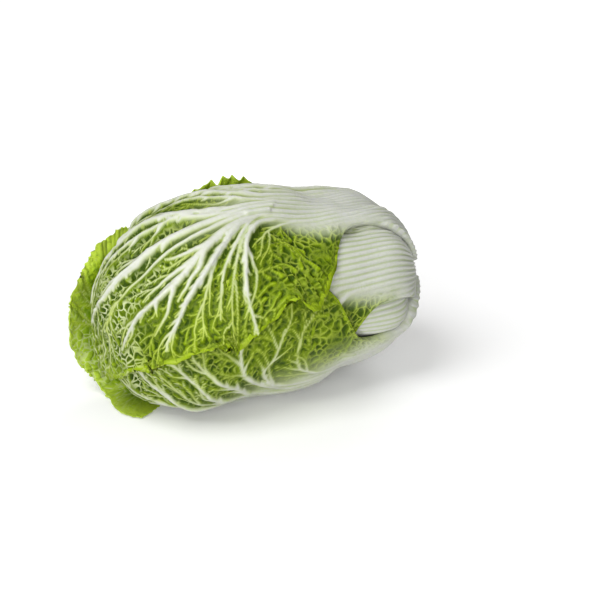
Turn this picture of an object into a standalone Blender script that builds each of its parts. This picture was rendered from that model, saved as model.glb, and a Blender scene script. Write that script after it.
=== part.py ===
"""A whole napa cabbage, lying on its side, built leaf by leaf.

The head's axis runs along X: the cut stem points to +X and the tips of the leaves to -X. The
floor is Z = 0, and the origin is on it, under the middle of the head. Leaves are laid one over
another from the heart outwards, each a golden turn round from the last, as they grow.

Every place in the head lies on a ray from its axis. A ray has a reach, which is how far along
the leaves it is from the widest part of the base, and a turn about the axis: 0 is up and 90
degrees is towards -Y. A grid of rays keeps how far out the head has got as the leaves go on.
"""

import math

import bmesh
import bpy
import numpy as np

# The head
BASE_CENTRE = 0.062  # from the cut face to where the base starts to round off
TRUNK_LENGTH = 0.132  # from there to where the tip starts to round off
ROUND_RADIUS = 0.080  # metres of reach for each radian of the rounded base and tip
BASE_ANGLE = math.radians(63)  # how far the base rounds in, to the side of the stem
AXIS_HEIGHT = 0.0785  # of the head's axis above the floor
TIP_DROOP = 0.010  # how much lower the axis is at the tip
HEART_RADIUS = 0.009
GOLDEN_TURN = math.radians(137.5)
OUTER_TURN = math.radians(230.5)  # where the outermost leaf's midrib lies

# How far out the closed head gets, as (reach, distance from the axis)
HEAD_PROFILE = (
    (-0.088, 0.066),
    (-0.060, 0.068),
    (-0.025, 0.070),
    (0.010, 0.0710),
    (0.045, 0.0788),
    (0.090, 0.0830),
    (0.130, 0.0830),
    (0.165, 0.0785),
    (0.210, 0.0720),
    (0.258, 0.0660),
)

# The head is flatter at its lower front towards the tip
FLAT_SHARE = 0.11
FLAT_TURN = math.radians(145)
FLAT_SPREAD = math.radians(28)
FLAT_FROM, FLAT_TO = 0.07, 0.12  # reach over which it sets in

# The leaves
LEAF_COUNT = 22
GAP = 0.0014  # between one leaf and the next
BLADE_THICKNESS = 0.0030  # of a blade with its crumples
RIB_THICKNESS = 0.0070  # more than that at the foot of a midrib
RIB_HALF_WIDTH = 0.029  # of a midrib at its foot
EDGE_POWER = 3.0  # how suddenly a leaf's far edge rounds off towards its sides

# Half the angle that a leaf wraps round the head, as (share of its length, degrees)
WRAP = (
    (0.0, 57),
    (0.09, 38),
    (0.19, 29),
    (0.28, 33),
    (0.36, 66),
    (0.44, 97),
    (0.55, 103),
    (0.68, 99),
    (0.84, 84),
    (0.93, 70),
    (1.0, 52),
)
TIP_WRAP = math.radians(88)
INNER_WRAP = 48  # inner leaves are broad all the way down

# The stem
STEM_RADIUS = 0.026
STEM_HEIGHT = 0.046
STEM_SIDES = 32
STEM_PROFILE = ((0.0, 0.0), (0.90, 0.0), (1.0, 0.05), (1.0, 0.12), (0.64, 0.50), (0.36, 0.80), (0.0, 0.97))

# How the leaves are laid
ROWS = 150
COLUMNS = 180
SWELL = 3
BLUR = 12
LIFTS = 6
ROUNDS = 7
EVENNESS = 0.25  # how much of the head's unevenness is kept
REACH_LOW = -BASE_ANGLE * ROUND_RADIUS
REACH_HIGH = TRUNK_LENGTH + math.pi / 2 * ROUND_RADIUS
REST = 0.0026  # points of the outermost leaf this near the floor are on it


class Leaf:
    """One leaf. Its tip is an angle over the head's shoulder, and arc is how much shorter its sides are.

    front and back scale how far its sides wrap, and back_tip is back beyond the head's shoulder. A loose
    leaf lifts off the head towards its tip, by lift_tip, and along its front edge, by lift_side.
    """

    def __init__(self, index, tip, cells, arc=0.2, front=1.0, back=1.0, back_tip=1.0, lift_tip=0.0, lift_side=0.0):
        self.name = f"leaf_{index:02d}"
        self.index = index
        self.turn = OUTER_TURN + (index - 1) * GOLDEN_TURN
        self.end = TRUNK_LENGTH + ROUND_RADIUS * math.radians(tip)
        self.cells = cells
        self.least_wrap = INNER_WRAP if index > 5 else 0
        self.arc = arc
        self.front = front
        self.back = back
        self.back_tip = back_tip
        self.lift_tip = lift_tip
        self.lift_side = lift_side


def all_leaves():
    """The leaves from the heart outwards."""
    leaves = [
        Leaf(1, 57, 14, arc=0.05, front=0.90, back=0.72, back_tip=0.71, lift_tip=0.016, lift_side=0.007),
        Leaf(2, 117, 14, arc=0.07, back=0.92, back_tip=0.92),
        Leaf(3, 108, 14, arc=0.10),
    ]
    for index in range(4, LEAF_COUNT + 1):
        tip = 96 - 2.2 * (index - 4)
        cells = 12 if index < 10 else 10
        leaves.append(Leaf(index, tip, cells))
    return leaves[::-1]


def smooth_curve(points, x):
    """A smooth curve through the points, read at x."""
    px, py = np.array(points, float).T
    slope = np.gradient(py, px)
    x = np.clip(x, px[0], px[-1])
    i = np.clip(np.searchsorted(px, x, side="right") - 1, 0, len(px) - 2)
    width = px[i + 1] - px[i]
    t = (x - px[i]) / width
    return (
        py[i] * (1 + 2 * t) * (1 - t) ** 2
        + width * slope[i] * t * (1 - t) ** 2
        + py[i + 1] * t * t * (3 - 2 * t)
        + width * slope[i + 1] * t * t * (t - 1)
    )


def polar_of(reach):
    """The angle of a ray from square to the axis: below 0 towards the stem, above 0 towards the tip."""
    return (np.minimum(reach, 0) + np.maximum(reach - TRUNK_LENGTH, 0)) / ROUND_RADIUS


def axis_height(along):
    """The height of the axis, this far along it from the cut face: it droops towards the tip."""
    t = np.clip((along - 0.165) / 0.065, 0, 1)
    return AXIS_HEIGHT - TIP_DROOP * t * t * (3 - 2 * t)


def point_on(reach, turn, distance):
    """The place at a distance along a ray, with the cut face of the stem at X = 0."""
    polar = polar_of(reach)
    out = distance * np.cos(polar)
    along = BASE_CENTRE + np.clip(reach, 0, TRUNK_LENGTH) + distance * np.sin(polar)
    return np.stack([-along, -out * np.sin(turn), axis_height(along) + out * np.cos(turn)], -1)


def ray_through(places):
    """The reach, turn and distance of places given by point_on."""
    up = places[..., 2] - axis_height(-places[..., 0])
    along, across = -places[..., 0] - BASE_CENTRE, -places[..., 1]
    out = np.hypot(across, up)
    past = np.minimum(along, 0) + np.maximum(along - TRUNK_LENGTH, 0)
    reach = np.clip(along, 0, TRUNK_LENGTH) + np.arctan2(past, out) * ROUND_RADIUS
    return reach, np.arctan2(across, up), np.hypot(past, out)


def half_wrap(leaf, share, u):
    """How far round the head a leaf gets: over the tip, less than a quarter turn to each side."""
    back = leaf.back + (leaf.back_tip - leaf.back) * np.clip((share - 0.6) / 0.2, 0, 1)
    wide = np.radians(np.hypot(smooth_curve(WRAP, share), leaf.least_wrap)) * np.where(u > 0, leaf.front, back)
    reach = REACH_LOW + share * (leaf.end - REACH_LOW)
    most = TIP_WRAP + np.radians(60) * np.clip((TRUNK_LENGTH - reach) / 0.05, 0, 1) ** 1.5
    return -np.log(np.exp(-12 * wide) + np.exp(-12 * most)) / 12


def leaf_rays(leaf, u, v):
    """The rays of a leaf. u goes from -1 to 1 across it, and v from 0 at its foot to 1 at its far edge."""
    share = v * (1 - leaf.arc * np.abs(u) ** EDGE_POWER)
    reach = REACH_LOW + share * (leaf.end - REACH_LOW)
    side = u * half_wrap(leaf, share, u)
    # Past the shoulder a leaf runs straight over the tip, so its rows lie on great circles there.
    polar = np.maximum(reach - TRUNK_LENGTH, 0) / ROUND_RADIUS
    over_tip = polar > 0
    turn = np.where(over_tip, np.arctan2(np.sin(side), np.cos(side) * np.cos(polar)), side)
    tip = np.arcsin(np.clip(np.cos(side) * np.sin(polar), -1, 1))
    return np.where(over_tip, TRUNK_LENGTH + ROUND_RADIUS * tip, reach), leaf.turn + turn, share


def thickness(leaf, u, share, distance):
    """A leaf is thick at its midrib, and thins out to its blade."""
    side = np.abs(u) * half_wrap(leaf, share, u) * np.maximum(distance, 0.02)
    rib_width = RIB_HALF_WIDTH * (1 - 0.75 * share)
    rib = RIB_THICKNESS * np.clip(1 - share, 0, 1) ** 0.8
    return BLADE_THICKNESS + rib * np.exp(-((side / rib_width) ** 2))


def lift(leaf, u, share):
    """How far a loose leaf stands off the head."""
    tip = leaf.lift_tip * np.clip((share - 0.70) / 0.30, 0, 1) ** 1.2
    side = leaf.lift_side * np.clip((u - 0.70) / 0.30, 0, 1) ** 2 * np.clip(share / 0.4, 0, 1) ** 4
    return tip + side


ROW_REACH = np.linspace(REACH_LOW, REACH_HIGH, ROWS)[:, None]
TURN_STEP = np.round(1 / np.maximum(np.cos(polar_of(ROW_REACH)), 0.04)).astype(int)


def neighbours(field):
    """The grid turned a step each way. A step covers as much ground near the tip, where the turns meet."""
    ring = np.arange(COLUMNS)[None, :]
    return (
        np.take_along_axis(field, (ring + TURN_STEP) % COLUMNS, 1),
        np.take_along_axis(field, (ring - TURN_STEP) % COLUMNS, 1),
    )


def blurred(field, passes):
    """The grid, averaged with its neighbours."""
    for _ in range(passes):
        left, right = neighbours(field)
        field = (left + 2 * field + right) / 4
        rows = np.pad(field, ((1, 1), (0, 0)), mode="edge")
        field = (rows[:-2] + 2 * rows[1:-1] + rows[2:]) / 4
    return field


def swollen(field, passes):
    """The grid, raised to its highest neighbour."""
    for _ in range(passes):
        field = np.maximum(field, np.maximum(*neighbours(field)))
        rows = np.pad(field, ((1, 1), (0, 0)), mode="edge")
        field = np.maximum(field, np.maximum(rows[:-2], rows[2:]))
    return field


def even_tip(field):
    """The grid with its turns made one near the very tip, where they all meet."""
    share = np.clip((polar_of(ROW_REACH) - math.radians(74)) / math.radians(14), 0, 1)
    return field + share * (field.mean(1, keepdims=True) - field)


def sample(field, reach, turn):
    """The grid's value on any ray."""
    row = np.clip((reach - REACH_LOW) / (REACH_HIGH - REACH_LOW), 0, 1) * (ROWS - 1)
    column = turn / (2 * math.pi) * COLUMNS
    r0 = np.clip(np.floor(row).astype(int), 0, ROWS - 2)
    c0 = np.floor(column).astype(int)
    fr, fc = row - r0, column - c0
    c0, c1 = c0 % COLUMNS, (c0 + 1) % COLUMNS
    low = field[r0, c0] * (1 - fc) + field[r0, c1] * fc
    high = field[r0 + 1, c0] * (1 - fc) + field[r0 + 1, c1] * fc
    return low * (1 - fr) + high * fr


def facets(points, steps):
    """Places all over the flat facets that join a leaf's points, and each place's share of its four corners.

    A square of four points is folded along one diagonal, and this has both ways of folding it.
    """
    t = np.linspace(0, 1, steps)
    s, t = (g.ravel() for g in np.meshgrid(t, t, indexing="ij"))
    one = [1 - np.maximum(s, t), np.maximum(s - t, 0), np.maximum(t - s, 0), np.minimum(s, t)]
    low = s + t <= 1
    other = [
        np.where(low, 1 - s - t, 0),
        np.where(low, s, 1 - t),
        np.where(low, t, 1 - s),
        np.where(low, 0, s + t - 1),
    ]
    weights = np.concatenate([np.stack(one, -1), np.stack(other, -1)])
    corners = np.stack([points[:-1, :-1], points[1:, :-1], points[:-1, 1:], points[1:, 1:]], 2)
    return np.einsum("kc,ijcx->ijkx", weights, corners), weights


def inside_of(points, depth):
    """The places of a leaf's inner face, square in from its outer one."""
    normal = np.cross(np.gradient(points, axis=1), np.gradient(points, axis=0))
    normal /= np.linalg.norm(normal, axis=-1, keepdims=True)
    return points - normal * depth[..., None]


def raise_to_clear(height, reach, turn, distance, depth):
    """Moves the points of a leaf out until the inside of its facets clears the leaves under them."""
    for _ in range(LIFTS):
        places, weights = facets(inside_of(point_on(reach, turn, distance), depth), 9)
        r, t, d = ray_through(places)
        short = np.maximum(sample(height, r, t) + GAP - d, 0)
        need = (short[..., None] * weights).max(2) * 1.6
        raised = np.zeros_like(distance)
        for i, (a, b) in enumerate(((0, 0), (1, 0), (0, 1), (1, 1))):
            part = raised[a : a + need.shape[0], b : b + need.shape[1]]
            np.maximum(part, need[..., i], out=part)
        distance = distance + raised
    return distance


def cover(height, points):
    """Raises the grid to the outside of a leaf's facets."""
    reach, turn, distance = ray_through(facets(points, 16)[0])
    row = (reach - REACH_LOW) / (REACH_HIGH - REACH_LOW) * (ROWS - 1)
    column = turn / (2 * math.pi) * COLUMNS
    for r in (np.floor(row), np.ceil(row)):
        for c in (np.floor(column), np.ceil(column)):
            place = (np.clip(r, 0, ROWS - 1).astype(int), c.astype(int) % COLUMNS)
            np.maximum.at(height, place, distance)


def lay_leaves(leaves, room):
    """Lays the leaves from the heart outwards. room scales their thickness. Each leaf keeps its points."""
    height = np.full((ROWS, COLUMNS), HEART_RADIUS)
    for leaf in leaves:
        under = even_tip(blurred(swollen(height, SWELL), BLUR))
        steps = np.linspace(0, 1, leaf.cells + 1)
        u, v = np.meshgrid(2 * steps - 1, steps, indexing="ij")
        reach, turn, share = leaf_rays(leaf, u, v)
        distance = sample(under, reach, turn)
        depth = thickness(leaf, u, share, distance) * sample(room, reach, turn)
        distance = raise_to_clear(height, reach, turn, distance + GAP + depth, depth)
        cover(height, point_on(reach, turn, distance))
        leaf.points = reach, turn, distance, depth, lift(leaf, u, share)
    return height


def floor_distance(wanted):
    """How far the floor is along each ray of the grid, or a long way where a ray doesn't meet it."""
    turn = np.arange(COLUMNS) * 2 * math.pi / COLUMNS
    down = -np.cos(polar_of(ROW_REACH)) * np.cos(turn)[None, :]
    above = axis_height(-point_on(ROW_REACH, 0, wanted)[..., 0])
    return np.where(down > 0.2, above / np.maximum(down, 0.2), 1.0)


def wanted_distances():
    """How far out the closed head should get, on each ray of the grid."""
    turn = np.arange(COLUMNS)[None, :] * 2 * math.pi / COLUMNS
    set_in = np.clip((ROW_REACH - FLAT_FROM) / (FLAT_TO - FLAT_FROM), 0, 1)
    flat = FLAT_SHARE * set_in**2 * (3 - 2 * set_in) * np.exp(-(((turn - FLAT_TURN) / FLAT_SPREAD) ** 2))
    return smooth_curve(HEAD_PROFILE, ROW_REACH) * (1 - flat)


def fill_head(leaves):
    """Lays the leaves over and over, making them thicker or thinner until the head has its profile.

    Where it lies on the floor it is pressed a little more. Returns how much, on each ray.
    """
    room = np.ones((ROWS, COLUMNS))
    wanted = wanted_distances()
    floor = floor_distance(wanted)
    still = HEART_RADIUS + GAP * LEAF_COUNT / 2
    for _ in range(ROUNDS):
        height = lay_leaves(leaves, room)
        target = np.minimum(wanted * (height / height.mean(1, keepdims=True)) ** EVENNESS, floor)
        room = room * np.clip((target - still) / (height - still), 0.6, 1.6)
        room = blurred(np.clip(room, 0.28, 2.2), 6)
    return np.minimum(1, floor / blurred(swollen(height, 1), 2))


def material(name, colour, roughness):
    made = bpy.data.materials.new(name)
    made.use_nodes = True
    shader = made.node_tree.nodes["Principled BSDF"]
    shader.inputs["Base Color"].default_value = (*colour, 1)
    shader.inputs["Roughness"].default_value = roughness
    shader.inputs["Metallic"].default_value = 0
    return made


def add_object(name, mesh, look, collection):
    mesh.materials.append(look)
    made = bpy.data.objects.new(name, mesh)
    collection.objects.link(made)
    return made


def make_leaf(leaf, press, look, collection):
    """A leaf is a grid laid on its outer face, with its thickness added inwards."""
    reach, turn, distance, depth, lifted = leaf.points
    places = point_on(reach, turn, distance * sample(press, reach, turn) + lifted)
    if leaf.index == 1:
        places[..., 2] = np.where(places[..., 2] < REST, 0, places[..., 2])
    form = bmesh.new()
    bmesh.ops.create_grid(form, x_segments=leaf.cells, y_segments=leaf.cells, size=1)
    thick = form.verts.layers.deform.verify()
    full = float(depth.max())
    for vertex in form.verts:
        i, j = (round((x + 1) / 2 * leaf.cells) for x in vertex.co.xy)
        vertex.co = places[i, j]
        vertex[thick][0] = depth[i, j] / full
    bmesh.ops.reverse_faces(form, faces=form.faces)  # so that they face out of the head
    mesh = bpy.data.meshes.new(leaf.name)
    form.to_mesh(mesh)
    form.free()
    made = add_object(leaf.name, mesh, look, collection)
    shell = made.modifiers.new("thickness", "SOLIDIFY")
    shell.thickness = full
    shell.offset = -1
    shell.vertex_group = made.vertex_groups.new(name="thickness").name
    return made


def make_stem(look, collection):
    """The stem is turned: a flat cut face, a short straight side, and a cone that the leaves grow from."""
    form = bmesh.new()
    points = [form.verts.new((0, r * STEM_RADIUS, h * STEM_HEIGHT)) for r, h in STEM_PROFILE]
    for a, b in zip(points, points[1:]):
        form.edges.new((a, b))
    mesh = bpy.data.meshes.new("stem")
    form.to_mesh(mesh)
    form.free()
    made = add_object("stem", mesh, look, collection)
    made.rotation_euler = (0, -math.pi / 2, 0)
    made.location = (0, 0, AXIS_HEIGHT)
    turned = made.modifiers.new("turned", "SCREW")
    turned.axis = "Z"
    turned.steps = turned.render_steps = STEM_SIDES
    turned.use_merge_vertices = True
    turned.merge_threshold = 0.0001
    turned.use_normal_flip = True
    return made


def put_origin_under(objects):
    """Moves everything so that the origin is under the middle of the head."""
    bpy.context.view_layer.update()
    graph = bpy.context.evaluated_depsgraph_get()
    corners = []
    for made in objects:
        mesh = made.evaluated_get(graph).to_mesh()
        corners.extend(made.matrix_world @ vertex.co for vertex in mesh.vertices)
    corners = np.array(corners)
    middle = (corners.min(0) + corners.max(0)) / 2
    for made in objects:
        made.location.x -= middle[0]
        made.location.y -= middle[1]


def main():
    for old in list(bpy.data.objects):
        bpy.data.objects.remove(old)
    collection = bpy.data.collections.new("napa_cabbage")
    bpy.context.scene.collection.children.link(collection)
    green = material("outer_leaf", (0.33, 0.50, 0.08), 0.42)
    yellow = material("heart_leaf", (0.78, 0.70, 0.25), 0.45)
    cream = material("stem", (0.80, 0.74, 0.56), 0.6)
    leaves = all_leaves()
    press = fill_head(leaves)
    made = [make_leaf(leaf, press, green if leaf.index < 9 else yellow, collection) for leaf in leaves]
    made.append(make_stem(cream, collection))
    put_origin_under(made)


main()
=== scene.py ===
# %% [markdown]
# # A napa cabbage, leaf by leaf
#
# A napa cabbage is a barrel of leaves wrapped round a short stem. Each leaf has a broad white
# midrib, a fan of white ribs that branch from it, and a thin green blade that is puckered between
# them. The solids of the head already say where each leaf lies and how big it is. This script
# keeps those places and gives every leaf its own fine sheet: ribs, hollows, a frilled edge and a
# finish.
#
# The solids come in through a small kit, as a frame that is never moved. Every sheet made here
# stands for one of them.

# %% Load the frame
import math

import bmesh
import bpy
import numpy as np
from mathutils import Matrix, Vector
from mathutils.bvhtree import BVHTree


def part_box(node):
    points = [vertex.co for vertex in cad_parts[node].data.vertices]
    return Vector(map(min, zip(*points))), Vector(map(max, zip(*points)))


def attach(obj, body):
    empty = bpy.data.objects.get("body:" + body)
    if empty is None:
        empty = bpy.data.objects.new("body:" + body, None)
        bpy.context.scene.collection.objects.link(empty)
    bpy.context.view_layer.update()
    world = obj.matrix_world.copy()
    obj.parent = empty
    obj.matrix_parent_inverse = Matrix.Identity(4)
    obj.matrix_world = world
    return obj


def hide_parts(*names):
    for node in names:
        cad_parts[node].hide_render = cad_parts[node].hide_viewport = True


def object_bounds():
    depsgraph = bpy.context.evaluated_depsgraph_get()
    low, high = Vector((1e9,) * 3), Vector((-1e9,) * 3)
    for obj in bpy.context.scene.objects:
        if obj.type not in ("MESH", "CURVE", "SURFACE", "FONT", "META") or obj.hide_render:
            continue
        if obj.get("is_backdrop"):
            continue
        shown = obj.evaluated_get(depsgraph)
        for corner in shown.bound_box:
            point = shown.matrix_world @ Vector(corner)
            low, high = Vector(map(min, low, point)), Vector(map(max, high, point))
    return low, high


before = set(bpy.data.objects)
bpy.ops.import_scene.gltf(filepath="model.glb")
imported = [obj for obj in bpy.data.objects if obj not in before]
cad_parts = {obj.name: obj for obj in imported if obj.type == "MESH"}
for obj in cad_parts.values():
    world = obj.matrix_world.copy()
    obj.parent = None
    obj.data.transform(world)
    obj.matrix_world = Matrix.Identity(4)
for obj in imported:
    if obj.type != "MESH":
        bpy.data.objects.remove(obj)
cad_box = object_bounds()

cut_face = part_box("stem")[1].x
axis_y = (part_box("stem")[0].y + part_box("stem")[1].y) / 2
print(f"{len(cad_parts)} solids, cut face at x = {cut_face:.4f}")

# %% [markdown]
# ## Rays
#
# A head has no flat side, so a place in it is best named by a ray from its axis, as a place on a
# globe is named by its latitude and longitude. A ray has a **reach**, which runs along the head
# in metres, and a **turn** about the axis: 0 is up. Where the base and the tip round off, the
# reach becomes an angle. These are the rules by which the solids were laid, so a ray found here
# meets the solids where it should.

# %% Rays and places
BASE_CENTRE = 0.062  # from the cut face to where the base starts to round off
TRUNK_LENGTH = 0.132  # from there to where the tip starts to round off
ROUND_RADIUS = 0.080  # metres of reach for each radian of the rounded ends
REACH_LOW = -math.radians(63) * ROUND_RADIUS
AXIS_HEIGHT = 0.0785
TIP_DROOP = 0.010  # how much lower the axis is at the tip


def smooth(x):
    """Rises from 0 to 1 as x does, with no corner at either end."""
    x = np.clip(x, 0, 1)
    return x * x * (3 - 2 * x)


def axis_height(along):
    return AXIS_HEIGHT - TIP_DROOP * smooth((along - 0.165) / 0.065)


def place_on(reach, turn, distance):
    """The place at a distance along a ray."""
    polar = (np.minimum(reach, 0) + np.maximum(reach - TRUNK_LENGTH, 0)) / ROUND_RADIUS
    out = distance * np.cos(polar)
    along = BASE_CENTRE + np.clip(reach, 0, TRUNK_LENGTH) + distance * np.sin(polar)
    across = axis_y - out * np.sin(turn)
    return np.stack([cut_face - along, across, axis_height(along) + out * np.cos(turn)], -1)


def ray_through(places):
    """The reach, turn and distance of places."""
    along = cut_face - places[..., 0]
    up = places[..., 2] - axis_height(along)
    across = axis_y - places[..., 1]
    along = along - BASE_CENTRE
    out = np.hypot(across, up)
    past = np.minimum(along, 0) + np.maximum(along - TRUNK_LENGTH, 0)
    reach = np.clip(along, 0, TRUNK_LENGTH) + np.arctan2(past, out) * ROUND_RADIUS
    return reach, np.arctan2(across, up), np.hypot(past, out)


ends = (cut_face - BASE_CENTRE, cut_face - BASE_CENTRE - TRUNK_LENGTH)
print(f"the base rounds off from x = {ends[0]:.4f}, the tip from x = {ends[1]:.4f}")

# %% [markdown]
# ## The plan of a leaf
#
# On a bench, a napa leaf is a long paddle: a stalk as wide as its foot, a narrow waist, and a
# broad round blade. Two numbers name a place on it: **u** runs across, from -1 at one edge to 1
# at the other, and **v** runs from 0 at the foot to 1 at the far edge. The table of half widths
# turns them into rays. A leaf past the shoulder of the head runs straight over the tip, so there
# its rows lie on great circles instead of on turns, which all meet at the tip.

# %% Leaves
WRAP = (
    (0.0, 57), (0.09, 38), (0.19, 29), (0.28, 33), (0.36, 66), (0.44, 97),
    (0.55, 103), (0.68, 99), (0.84, 84), (0.93, 70), (1.0, 52),
)  # (share of the length, degrees that a leaf wraps round to each side)
TIP_WRAP = math.radians(88)
INNER_WRAP = 48
OUTER_TURN = math.radians(230.5)
GOLDEN_TURN = math.radians(137.5)
LEAF_COUNT = 22
GREEN_COUNT = 8  # of these, from the outside; the rest are the pale heart


class Leaf:
    """One leaf, with the numbers that its solid was made from.

    tip is how far over the rounded tip it ends, in degrees, and cells is how many steps its solid
    has each way. arc is how much shorter it is at its sides. front and back are how much of the
    usual wrap it has on its two sides, and back_tip is that of the back near the far edge.
    """

    def __init__(self, index, tip, cells, arc=0.2, front=1.0, back=1.0, back_tip=1.0):
        self.name = f"leaf_{index:02d}"
        self.index = index
        self.cells = cells
        self.arc = arc
        self.front, self.back, self.back_tip = front, back, back_tip
        self.turn = OUTER_TURN + (index - 1) * GOLDEN_TURN
        self.end = TRUNK_LENGTH + ROUND_RADIUS * math.radians(tip)
        self.length = self.end - REACH_LOW
        self.least_wrap = INNER_WRAP if index > 5 else 0


leaves = [
    Leaf(1, 57, 14, arc=0.05, front=0.90, back=0.72, back_tip=0.71),
    Leaf(2, 117, 14, arc=0.07, back=0.92, back_tip=0.92),
    Leaf(3, 108, 14, arc=0.10),
] + [Leaf(i, 96 - 2.2 * (i - 4), 12 if i < 10 else 10) for i in range(4, LEAF_COUNT + 1)]


def curve_through(points, x):
    """A smooth curve through the points, read at x."""
    px, py = np.array(points, float).T
    slope = np.gradient(py, px)
    x = np.clip(x, px[0], px[-1])
    i = np.clip(np.searchsorted(px, x, side="right") - 1, 0, len(px) - 2)
    width = px[i + 1] - px[i]
    t = (x - px[i]) / width
    return (
        py[i] * (1 + 2 * t) * (1 - t) ** 2 + width * slope[i] * t * (1 - t) ** 2
        + py[i + 1] * t * t * (3 - 2 * t) + width * slope[i + 1] * t * t * (t - 1)
    )


def half_wrap(leaf, share, u):
    """How far round the head a leaf gets, in radians."""
    back = leaf.back + (leaf.back_tip - leaf.back) * np.clip((share - 0.6) / 0.2, 0, 1)
    degrees = np.hypot(curve_through(WRAP, share), leaf.least_wrap)
    wide = np.radians(degrees) * np.where(u > 0, leaf.front, back)
    reach = REACH_LOW + share * leaf.length
    most = TIP_WRAP + np.radians(60) * np.clip((TRUNK_LENGTH - reach) / 0.05, 0, 1) ** 1.5
    return -np.log(np.exp(-12 * wide) + np.exp(-12 * most)) / 12


def leaf_chart(leaf, u, v):
    """The flat chart of a leaf, in metres: x across from the midrib, y up from the foot."""
    share = v * (1 - leaf.arc * np.abs(u) ** 3)
    return ROUND_RADIUS * u * half_wrap(leaf, share, u), share * leaf.length


def rays_of_chart(leaf, x, y):
    """The rays of places on the flat chart."""
    reach = REACH_LOW + y
    side = x / ROUND_RADIUS
    polar = np.maximum(reach - TRUNK_LENGTH, 0) / ROUND_RADIUS
    over_tip = polar > 0
    turn = np.where(over_tip, np.arctan2(np.sin(side), np.cos(side) * np.cos(polar)), side)
    tip = np.arcsin(np.clip(np.cos(side) * np.sin(polar), -1, 1))
    return np.where(over_tip, TRUNK_LENGTH + ROUND_RADIUS * tip, reach), leaf.turn + turn


lengths = [leaf.length for leaf in leaves]
print(f"{len(leaves)} leaves, from {min(lengths):.3f} to {max(lengths):.3f} m long")

# %% [markdown]
# ## Reading the solids
#
# Each solid was made from a coarse grid of rays, so its outer points still lie on those rays. A
# ray could be cast at the solid to find how far out it is, but a ray that runs through a corner
# can miss. It is safer to name every point of the solid by its own ray and pick the outermost one
# that lies on the wanted ray. The coarse grid of distances is then read smoothly in between, so
# the fine sheet is round where the solid has flat facets.

# %% Distances from the solids
NEAR = 0.003  # how close to a ray a point counts as on it


def solid_distances(leaf):
    """How far out the solid's outer points are, on its own coarse grid of u and v."""
    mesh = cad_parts[leaf.name].data
    points = np.empty(len(mesh.vertices) * 3, np.float32)
    mesh.vertices.foreach_get("co", points)
    reach, turn, distance = ray_through(np.unique(points.reshape(-1, 3), axis=0).astype(float))
    steps = np.linspace(0, 1, leaf.cells + 1)
    u, v = np.meshgrid(2 * steps - 1, steps, indexing="ij")
    wanted, round_to = rays_of_chart(leaf, *leaf_chart(leaf, u, v))
    aside = (turn - round_to[..., None] + math.pi) % (2 * math.pi) - math.pi
    polar = (np.minimum(reach, 0) + np.maximum(reach - TRUNK_LENGTH, 0)) / ROUND_RADIUS
    off = np.hypot(reach - wanted[..., None], distance * np.cos(polar) * aside)
    found = np.where(off < NEAR, distance, -1).max(-1)
    nearest = distance[off.argmin(-1)]
    return np.where(found > 0, found, nearest)


def read_between(grid, rows, columns):
    """The grid read at fractions of a step, by a smooth curve through its points each way."""
    for axis, at in ((0, rows), (1, columns)):
        grid = np.moveaxis(grid, axis, 0)
        padded = np.concatenate([2 * grid[:1] - grid[1:2], grid, 2 * grid[-1:] - grid[-2:-1]])
        i = np.clip(at.astype(int), 0, len(grid) - 2)
        t = (at - i)[:, None]
        a, b, c, d = (padded[i + k] for k in range(4))
        grid = b + t / 2 * (c - a + t * (2 * a - 5 * b + 4 * c - d + t * (3 * (b - c) + d - a)))
        grid = np.moveaxis(grid, 0, axis)
    return grid


for leaf in leaves:
    leaf.distances = solid_distances(leaf)
    if leaf.index < 4:
        print(leaf.name, "stands", (leaf.distances.min().round(4), leaf.distances.max().round(4)))

# %% [markdown]
# ## Where a leaf is free
#
# The blade of a napa leaf puckers only where it has room. Where another leaf lies over it, it is
# pressed smooth, and nowhere may its hollows reach down into the leaf below. Both are found with
# rays. The outer leaves are made first, so the rays outwards look for their finished sheets, with
# their frills. What lies under a leaf isn't made yet, so the rays inwards look for its solids.

# %% Room over and under a leaf
SEEN_FROM = 0.030  # a leaf over or under this one counts within this distance
SKIN = 0.0002  # a ray starts this far off its own sheet


def grid_faces(first, rows, columns, flip=False):
    """The squares of a grid of rows by columns points, whose first point has this number."""
    at = first + np.arange(rows * columns).reshape(rows, columns)
    square = [at[:-1, :-1], at[:-1, 1:], at[1:, 1:], at[1:, :-1]]
    if flip:
        square.reverse()
    return np.stack(square, -1).reshape(-1, 4)


def solid_tree(names):
    """One tree of the triangles of several solids."""
    points, faces = [], []
    for name in names:
        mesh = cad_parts[name].data
        faces += [[len(points) + k for k in face.vertices] for face in mesh.polygons]
        points += [tuple(vertex.co) for vertex in mesh.vertices]
    return BVHTree.FromPolygons(points, faces)


def sheet_tree(grids):
    """One tree of the squares of several sheets that are already made."""
    points, faces = [], []
    for grid in grids:
        faces += grid_faces(len(points), *grid.shape[:2]).tolist()
        points += grid.reshape(-1, 3).tolist()
    return BVHTree.FromPolygons(points, faces)


def room_each_way(leaf, places, out):
    """How far it is from each place to the sheet over it and to the solid under it."""
    over = [other.grid for other in leaves if other.index < leaf.index]
    under = [other.name for other in leaves if other.index > leaf.index]
    trees = (sheet_tree(over) if over else None, solid_tree(under) if under else None)
    found = []
    for tree, way in zip(trees, (1, -1)):
        gap = np.full(places.shape[:2], SEEN_FROM)
        if tree:
            for i, j in np.ndindex(gap.shape):
                away = Vector(out[i, j] * way)
                hit = tree.ray_cast(Vector(places[i, j]) + away * SKIN, away, SEEN_FROM)
                if hit[3] is not None:
                    gap[i, j] = hit[3]
        found.append(gap)
    return found


def outward(places):
    """The way out of the head, square to a leaf."""
    normal = np.cross(np.gradient(places, axis=1), np.gradient(places, axis=0))
    return normal / np.maximum(np.linalg.norm(normal, axis=-1, keepdims=True), 1e-12)


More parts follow.
